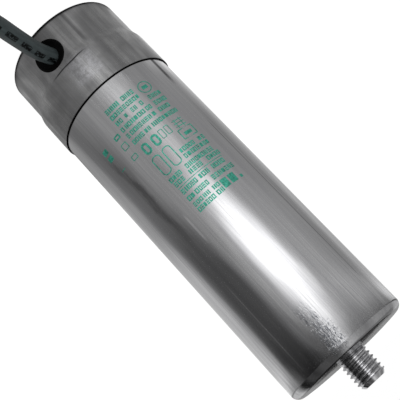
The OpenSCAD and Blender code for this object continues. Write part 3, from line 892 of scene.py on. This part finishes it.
def lay_print(bm):
    """Lays all the print flat: rows of blocks, a ring, outlined boxes and one rule."""
    rng = random.Random(7)
    rows = (
        (31.9, 1.45, 0.5, 10.3, ((4.5, 6.0),)),
        (33.9, 1.35, 0.5, 10.2, ()),
        (36.0, 1.35, 0.6, 15.0, ((2.6, 3.8), (5.0, 6.1), (7.4, 8.8), (10.1, 11.6))),
        (38.2, 1.35, 0.5, 15.0, ((1.4, 2.2), (8.3, 9.2), (10.6, 11.6))),
        (40.4, 1.35, 0.5, 15.0, ((1.2, 2.2), (8.3, 9.2), (10.6, 11.5))),
        (42.7, 1.35, 0.6, 15.0, ((4.2, 4.9), (6.8, 7.6))),
        (52.7, 1.3, 7.6, 15.2, ((12.6, 13.6),)),
        (54.5, 1.35, 7.6, 15.4, ()),
        (56.7, 1.35, 0.7, 15.2, ((4.8, 6.4),)),
        (58.4, 1.3, 0.9, 15.2, ((4.0, 6.0), (10.4, 11.8))),
        (60.9, 1.4, 1.0, 15.2, ((5.8, 7.0), (10.2, 11.2))),
        (63.2, 1.4, 1.0, 15.6, ((3.2, 3.9), (7.6, 9.1))),
        (65.3, 1.2, 1.1, 9.4, ((3.9, 4.7), (6.7, 7.6))),
        (67.0, 1.35, 1.1, 9.4, ((6.3, 7.7),)),
    )
    for z, height, start, end, gaps in rows:
        text_row(bm, rng, start, end, z, height, gaps)
    outline(bm, 12.8, 32.8, 3.7, 3.7, 1.85, 0.26)
    bar(bm, 12.8, 32.8, 1.7, 1.1)
    for u in (2.1, 5.3):
        outline(bm, u, 46.3, 2.1, 3.4, 1.0, 0.62)
    for u in (7.5, 9.3):
        outline(bm, u, 46.1, 1.35, 2.7, 0.3, 0.2)
    for k in range(3):
        bar(bm, 12.8, 45.2 + 0.95 * k, 3.1, 0.22)
    for u in (12.0, 13.6):
        bar(bm, u, 46.2, 0.22, 3.0)
    outline(bm, 12.9, 49.5, 4.4, 3.2, 0.35, 0.28)
    bar(bm, 12.9, 49.7, 2.2, 1.0)
    for u in (2.1, 5.5):
        outline(bm, u, 52.1, 2.6, 6.1, 1.1, 0.3)
    bar(bm, 8.1, 59.65, 14.3, 0.2)
    for u in (10.6, 13.0):
        bar(bm, u, 66.1, 1.9, 2.6)
    bar(bm, 15.3, 66.9, 0.8, 0.9)
    for z, height in ((38.4, 1.4), (41.6, 2.0), (45.4, 1.5)):
        outline(bm, -1.5, z, 1.9, height, 0.3, 0.42 if z < 40 else 0.22)
    for z in (38.2, 40.4):
        bar(bm, -7.0, z, 1.8, 1.5)
    bar(bm, -6.3, 45.1, 1.6, 0.25)


def wrap_on_can(bm, lift):
    """Bends a flat drawing in millimetres round the can, u from -Y towards -X."""
    r = CAN_HIGH.x
    for v in bm.verts:
        angle = v.co.x * MM / r
        out = r + lift + v.co.z
        v.co = Vector((-out * math.sin(angle), -out * math.cos(angle), v.co.y * MM))


# Finishes of the inner pieces: their nodes, then what speckled takes
INNER_FINISHES = (
    # Undyed nylon and polypropylene: milky and waxy
    (("strain_tie",), ("Nylon_natural", "#DEDCD2", "#CFCDC2", 0.4, 0.8)),
    (("winding_tube", "liner_cup"), ("Natural_polypropylene", "#E2E0D4", "#D3D1C4", 0.42, 1.0)),
    (("core_brown",), ("PVC_inner_brown", *BROWN_PVC)),
    (("core_blue",), ("PVC_inner_blue", *BLUE_PVC)),
    (("core_conductors", "near_lead", "far_lead"), ("Tinned_wire", *TINNED)),
    # Tinned and plain brass: warm and bright, with broken highlights
    (("tag_brown", "tag_blue"), ("Tinned_brass", "#CFC8A8", "#B6AF8E", 0.26, 0.5, 1.0)),
    (("rivets",), ("Plain_brass", "#CBA95A", "#B08F45", 0.28, 0.6, 1.0)),
    # Moulded laminate: tan and matt, like pressed paper in resin
    (("deck",), ("Moulded_laminate", "#B08A55", "#94713F", 0.45, 1.2)),
    # Seal rubber: near black and dull
    (("deck_seal",), ("Seal_rubber", "#17181A", "#0D0E0F", 0.55, 0.5)),
    # Film with a zinc skin: silvery, with a plastic's clear shine over it
    (("winding",), ("Metallised_film", "#C9CBCE", "#B3B5B9", 0.22, 0.3, 0.7)),
    # Sprayed zinc: grey and grainy, without a shine
    (("near_spray", "far_spray"), ("Sprayed_zinc", "#80838A", "#5E6168", 0.6, 0.25, 1.0, 0.2, 0.06)),
    # Cast resin: amber, glossy where it set against the air
    (("resin_fill",), ("Cast_resin", "#B98A3C", "#A37527", 0.3, 3.0)),
)


class CAPACITOR_OT_inside(bpy.types.Operator):
    """Gives the sealed inner pieces their finishes"""

    bl_idname = "capacitor.inside"
    bl_label = "Inner pieces"

    def execute(self, context):
        for nodes, finish in INNER_FINISHES:
            mat = speckled(*finish)
            for node in nodes:
                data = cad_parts[node].data
                data.materials.clear()
                data.materials.append(mat)
        return {"FINISHED"}


def stage_material(name, surface):
    """A material of the stage, whose surface comes from a function that lays out its nodes."""
    mat = bpy.data.materials.new(name)
    mat.use_nodes = True
    mat.node_tree.nodes.clear()
    add(mat.node_tree, "OutputMaterial", {"Surface": surface(mat.node_tree)})
    return mat


def ring_stops(cards):
    """Ramp stops of the cards that stand at the given degrees round the object."""
    return [((place + 180) / 360, tone) for place, tone in cards]


def seen_or_mirrored(tree):
    """One for rays from the camera and for rays that metal or glass sends on."""
    path = add(tree, "LightPath").outputs
    seen = add(tree, "Math", {0: path["Is Camera Ray"], 1: path["Is Glossy Ray"]}, operation="MAXIMUM")
    return add(tree, "Math", {0: seen, 1: path["Is Transmission Ray"]}, operation="MAXIMUM")


def floor_shader(tree):
    """White to the eye and to the metal, with a faint shadow; pale paint to all other light."""
    seen = seen_or_mirrored(tree)
    paint = add(tree, "Mix", {
        0: seen, 6: (0.8, 0.8, 0.8, 1), 7: (0.16, 0.16, 0.16, 1),
    }, data_type="RGBA")
    glow = add(tree, "Emission", {"Strength": overlap(tree, seen, 0.95)})
    return add(tree, "AddShader", {0: add(tree, "BsdfDiffuse", {"Color": paint}), 1: glow})


# Grey of the studio's cards, by degrees round the object from -Y towards -X: far off, between, near
CARDS_FAR = (
    (-180, 1.1), (-158, 1.0), (-147, 0.78), (-137, 0.68), (-126, 0.85), (-106, 0.85), (-95, 0.72),
    (-86, 0.25), (-76, 0.14), (-45, 0.12), (-35, 0.15), (-24, 0.42), (-14, 0.52), (-4, 0.7), (7, 0.9),
    (30, 0.95), (48, 0.85), (59, 0.68), (69, 0.66), (91, 0.62), (112, 0.5), (126, 0.45), (131, 0.36),
    (141, 0.5), (152, 0.76), (162, 0.62), (172, 0.65), (180, 1.0),
)
CARDS_MID = (
    (-180, 1.3), (-174, 0.9), (-158, 0.8), (-140, 0.6), (-110, 0.54), (-95, 0.52), (-86, 0.34),
    (-66, 0.24), (-54, 0.15), (-44, 0.32), (-34, 0.46), (-20, 0.5), (-4, 0.44), (10, 0.66),
    (38, 1.05), (55, 0.66), (75, 0.55), (112, 0.48), (130, 0.36), (141, 0.52), (172, 0.7), (180, 1.1),
)
CARDS_NEAR = (
    (-180, 1.1), (-175, 0.25), (-165, 0.12), (-152, 0.12), (-137, 0.26), (-118, 0.46), (-100, 0.48),
    (-87, 0.31), (-66, 0.28), (-45, 0.42), (-24, 0.5), (-4, 0.48), (7, 0.72), (22, 1.15), (38, 0.85),
    (59, 0.46), (75, 0.46), (112, 0.5), (128, 0.46), (138, 0.66), (150, 0.75), (162, 0.75), (174, 1.0),
    (180, 1.2),
)
# The dome carries the far cards on, with their shades
CARDS_SKY = (
    *CARDS_FAR[:6], (-99, 0.5), (-91, 0.03), (-77, 0.01), (-66, 0.09), (-56, 0.1), (-45, 0.05),
    (-35, 0.15), (-24, 0.15), (-14, 0.1), (-4, 0.13), (7, 0.22), (17, 0.7), (24, 0.95), (32, 0.7),
    (48, 0.45), (59, 0.36), (69, 0.42), (80, 0.5), (101, 0.48), (126, 0.43), (131, 0.38), *CARDS_FAR[-5:],
)
# Shades and brighter fields on the floor: degrees round, their softness, reach in metres from none to
# full, and how much of the light they take away or, below nought, add
SHADES = (
    ((-80, 10), 15, (0.9, 1.9), 0.15),
    ((-89, -70), 4, (1.4, 1.7), 0.92),
    ((-2, 32), 15, (0.075, 0.028), 0.55),
    ((20, 34), 6, (1.1, 1.6), -1.2),
    ((64, 160), 12, (1.1, 1.8), -0.8),
    ((-165, -98), 4, (1.3, 1.9), -0.4),
    ((-85, -58), 8, (0.055, 0.035), -0.85),
    ((108, 150), 9, (0.08, 0.058), -0.6),
)
# Degrees round to the middle of the studio's front
FRONT = 13
# Panels on the back of the dome: degrees to each side of its middle, degrees up, how fast the panel
# rises to the sides, degrees up that hold once this rise is taken off, softness, grey
BACK_PANELS = (
    ((-16, 16), (-5, 89), 1.4, (-30, 6), 1.5, 0.42),
    ((-46, -12), (-5, 72), 0.0, (32, 89), 8, 0.28),
    ((-8, 27), (-5, 62), 1.4, (8, 89), 2, 0.02),
    ((-16, 4), (-5, 46), 1.4, (8, 89), 2, 0.04),
)
# What the stud mirrors far off, just under and over the horizon
CARDS_STUD = (
    (-180, 0.5), (-100, 0.3), (-78, 0.2), (-67, 0.0), (6, 0.0), (13, 1.5), (22, 1.5), (28, 0.14),
    (160, 0.15), (180, 0.4),
)


def studio_shader(tree):
    """Emission of the cards and of the pool of light in front, by place in the studio."""
    position = add(tree, "TexCoord").outputs["Object"]
    angle = can_angle(tree, position)[0]
    turn = add(tree, "MapRange", {"Value": angle, "From Min": -180.0, "From Max": 180.0})
    flat = add(tree, "VectorMath", {0: position, 1: (1, 1, 0)}, operation="MULTIPLY")
    reach = add(tree, "VectorMath", {0: flat}, operation="LENGTH")
    grey = add(tree, "ValToRGB", {"Fac": turn}, ring_stops(CARDS_NEAR))
    for cards, low, high in ((CARDS_MID, 0.06, 0.15), (CARDS_FAR, 0.17, 0.4)):
        ring = add(tree, "ValToRGB", {"Fac": turn}, ring_stops(cards))
        step = add(tree, "MapRange", {"Value": reach, "From Min": low, "From Max": high}, **EASED)
        grey = add(tree, "Mix", {0: step, 6: grey, 7: ring}, data_type="RGBA")
    for turns, soft, (low, high), depth in SHADES:
        shade = add(tree, "MapRange", {
            "Value": reach, "From Min": low, "From Max": high, "To Max": depth,
        }, **EASED)
        shade = overlap(tree, shade, window(tree, angle, *turns, soft))
        left = add(tree, "Math", {0: shade, 1: -1.0, 2: 1.0}, operation="MULTIPLY_ADD")
        grey = add(tree, "Mix", {0: 1.0, 6: grey, 7: left}, data_type="RGBA", blend_type="MULTIPLY")
    # Contact shadow, which the cap's rounded end mirrors
    under = add(tree, "MapRange", {
        "Value": reach, "From Min": 0.0176, "From Max": 0.0196, "To Min": 0.05,
    }, **EASED)
    grey = add(tree, "Mix", {0: 1.0, 6: grey, 7: under}, data_type="RGBA", blend_type="MULTIPLY")

    # The pool of light, an oval in degrees round and in octaves of reach, which leans as it goes out
    octave = add(tree, "Math", {0: reach, 1: 2.0}, operation="LOGARITHM")
    lean = add(tree, "MapRange", {"Value": octave, "From Min": -0.3, "From Max": 1.2, "To Max": 10.0})
    across = add(tree, "Math", {0: angle, 1: lean}, operation="SUBTRACT")
    across = add(tree, "MapRange", {"Value": across, "From Min": 28.0, "From Max": 63.0}, clamp=False)
    depth = add(tree, "MapRange", {"Value": octave, "From Min": -0.75, "From Max": 1.15}, clamp=False)
    oval = add(tree, "CombineXYZ", {"X": across, "Y": depth})
    away = add(tree, "VectorMath", {0: oval}, operation="LENGTH")
    pool = add(tree, "MapRange", {
        "Value": away, "From Min": 0.2, "From Max": 1.0, "To Min": 2.2, "To Max": 0.0,
    }, **EASED)
    grey = add(tree, "Mix", {0: 1.0, 6: grey, 7: pool}, data_type="RGBA", blend_type="ADD")

    # The dome's cards stand so that the metal's rounded corner carries the streaks of its side on
    way = add(tree, "VectorMath", {0: position}, operation="NORMALIZE")
    front = (-math.sin(math.radians(FRONT)), -math.cos(math.radians(FRONT)), 0.0)
    halfway = add(tree, "VectorMath", {0: way, 1: front}, operation="ADD")
    bent = add(tree, "MapRange", {
        "Value": can_angle(tree, halfway)[0],
        "From Min": (FRONT - 180) / 2, "From Max": (FRONT + 180) / 2,
    })
    sky = add(tree, "ValToRGB", {"Fac": bent}, ring_stops(CARDS_SKY))
    behind = add(tree, "VectorRotate", {
        "Vector": way, "Angle": math.radians(180 + FRONT),
    }, rotation_type="Z_AXIS")
    aside, rising = can_angle(tree, behind)
    up = add(tree, "Math", {0: rising}, operation="ARCSINE")
    up = add(tree, "Math", {0: up}, operation="DEGREES")
    spread = add(tree, "Math", {0: aside}, operation="ABSOLUTE")
    for sides, heights, slope, sloped, soft, tone in BACK_PANELS:
        lifted = add(tree, "Math", {0: spread, 1: -slope, 2: up}, operation="MULTIPLY_ADD")
        panel = overlap(
            tree, window(tree, aside, *sides, soft), window(tree, up, *heights, soft),
            window(tree, lifted, *sloped, soft),
        )
        sky = add(tree, "Mix", {0: panel, 6: sky, 7: (tone, tone, tone, 1)}, data_type="RGBA")
    horizon = add(tree, "MapRange", {"Value": up, "From Min": 0.2, "From Max": 1.0}, **EASED)
    grey = add(tree, "Mix", {0: horizon, 6: grey, 7: sky}, data_type="RGBA")
    stud_ring = add(tree, "ValToRGB", {"Fac": turn}, ring_stops(CARDS_STUD))
    far = add(tree, "MapRange", {"Value": reach, "From Min": 2.5, "From Max": 2.75})
    far = overlap(tree, far, window(tree, up, -5, 4, 2))
    grey = add(tree, "Mix", {0: far, 6: grey, 7: stud_ring}, data_type="RGBA")
    return add(tree, "Emission", {"Color": grey})


class CAPACITOR_OT_stage(bpy.types.Operator):
    """Sets the pale floor, the studio panels that the metal mirrors, and the lamps"""

    bl_idname = "capacitor.stage"
    bl_label = "Stage"

    def execute(self, context):
        stage = context.scene.capacitor_stage
        floor = self.sheet("floor", 4.0, 0.0)
        floor.data.materials.append(stage_material("Floor_white", floor_shader))

        panels = stage_material("Studio_panels", studio_shader)
        panels.cycles.emission_sampling = "NONE"
        card = self.sheet("studio_card", DOME_R, 0.05 * MM)
        bm = bmesh.new()
        bmesh.ops.create_uvsphere(bm, u_segments=64, v_segments=32, radius=DOME_R)
        bmesh.ops.bisect_plane(
            bm, geom=bm.verts[:] + bm.edges[:] + bm.faces[:],
            plane_co=(0, 0, 0), plane_no=(0, 0, 1), clear_inner=True,
        )
        dome = place_mesh("studio_dome", bm)
        for piece in (card, dome):
            piece.data.materials.append(panels)
            for rays in ("camera", "diffuse", "transmission", "shadow"):
                setattr(piece, f"visible_{rays}", False)

        for name, power, size, place in (
            ("key", stage.key_power, 0.5, (-0.35, -0.45, 0.6)),
            ("fill", stage.fill_power, 0.8, (0.6, -0.3, 0.5)),
        ):
            data = bpy.data.lights.new(name, "AREA")
            data.energy = power
            data.size = size
            lamp = bpy.data.objects.new(name, data)
            lamp.location = place
            lamp.rotation_mode = "QUATERNION"
            lamp.rotation_quaternion = (Vector(AIM) - Vector(place)).to_track_quat("-Z", "Y")
            lamp.visible_glossy = False
            lamp.visible_camera = False
            context.scene.collection.objects.link(lamp)

        world = bpy.data.worlds.new("world")
        context.scene.world = world
        world.use_nodes = True
        tree = world.node_tree
        tree.nodes.clear()
        strength = add(tree, "MapRange", {"Value": seen_or_mirrored(tree), "To Min": 0.45})
        sky = add(tree, "Background", {"Color": (1, 1, 1, 1), "Strength": strength})
        add(tree, "OutputWorld", {"Surface": sky})
        return {"FINISHED"}

    def sheet(self, name, radius, height):
        """Round flat sheet of the stage."""
        bm = bmesh.new()
        bmesh.ops.create_circle(bm, cap_ends=True, segments=96, radius=radius)
        bmesh.ops.translate(bm, verts=bm.verts, vec=(0, 0, height))
        return place_mesh(name, bm)


class CAPACITOR_PT_panel(bpy.types.Panel):
    """Lists the capacitor's pieces and sizes in the sidebar"""

    bl_idname = "CAPACITOR_PT_panel"
    bl_label = "Motor run capacitor"
    bl_space_type = "VIEW_3D"
    bl_region_type = "UI"
    bl_category = "Capacitor"

    def draw(self, context):
        for group in (context.scene.capacitor_stage, context.scene.capacitor_body):
            for name in group.bl_rna.properties.keys():
                if name not in ("rna_type", "name"):
                    self.layout.prop(group, name)
        for operator in OPERATORS:
            self.layout.operator(operator.bl_idname)


OPERATORS = (
    CAPACITOR_OT_camera, CAPACITOR_OT_cable, CAPACITOR_OT_can, CAPACITOR_OT_cap, CAPACITOR_OT_bush,
    CAPACITOR_OT_print, CAPACITOR_OT_inside, CAPACITOR_OT_stage,
)
CLASSES = (CapacitorStage, CapacitorBody, *OPERATORS, CAPACITOR_PT_panel)


def register():
    for cls in CLASSES:
        bpy.utils.register_class(cls)
    bpy.types.Scene.capacitor_stage = PointerProperty(type=CapacitorStage)
    bpy.types.Scene.capacitor_body = PointerProperty(type=CapacitorBody)


def unregister():
    del bpy.types.Scene.capacitor_body
    del bpy.types.Scene.capacitor_stage
    for cls in reversed(CLASSES):
        bpy.utils.unregister_class(cls)


def main():
    register()
    for operator in OPERATORS:
        group, name = operator.bl_idname.split(".")
        getattr(getattr(bpy.ops, group), name)()


if __name__ == "__main__":
    main()
